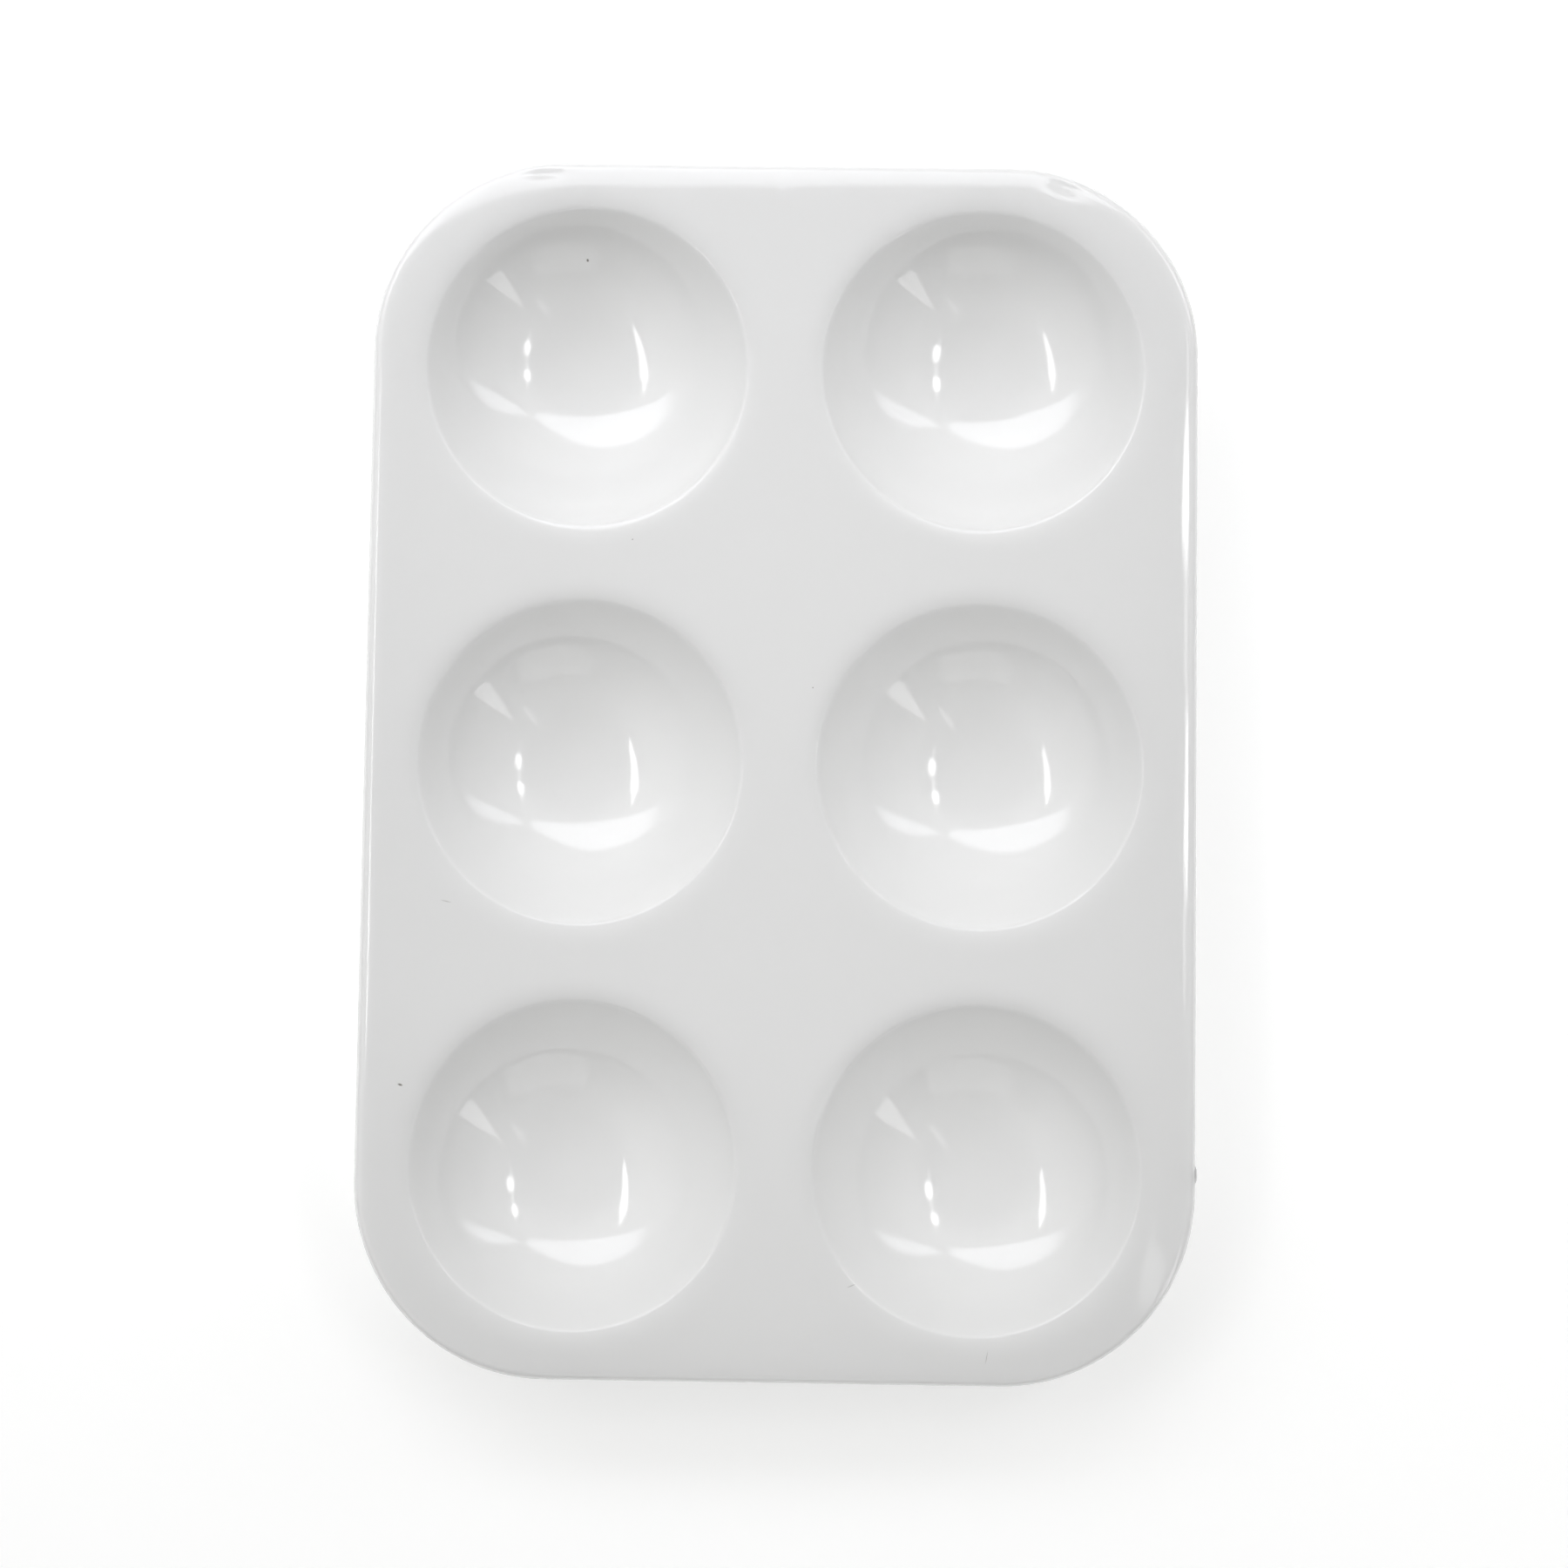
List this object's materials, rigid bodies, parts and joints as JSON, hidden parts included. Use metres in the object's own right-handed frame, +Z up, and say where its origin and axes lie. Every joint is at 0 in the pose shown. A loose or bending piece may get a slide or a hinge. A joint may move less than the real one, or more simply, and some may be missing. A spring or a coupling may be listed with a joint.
{
  "type": "mixing palette",
  "caption": "Rounded-rectangle plastic paint mixing palette with round concave wells in a grid, a flat deck and a turned-down skirt to stand on.",
  "frame": {"origin": "middle of the tray, in the plane of the foot rim that it stands on", "axes": "+Z up out of the wells, +Y along the long side, +X across the short side"},
  "size_m": [0.089, 0.13, 0.012],
  "materials": {
    "white_polystyrene": "gloss, polished mould"
  },
  "bodies": {
    "root": {"palette_tray": "white_polystyrene"}
  },
  "joints": []
}
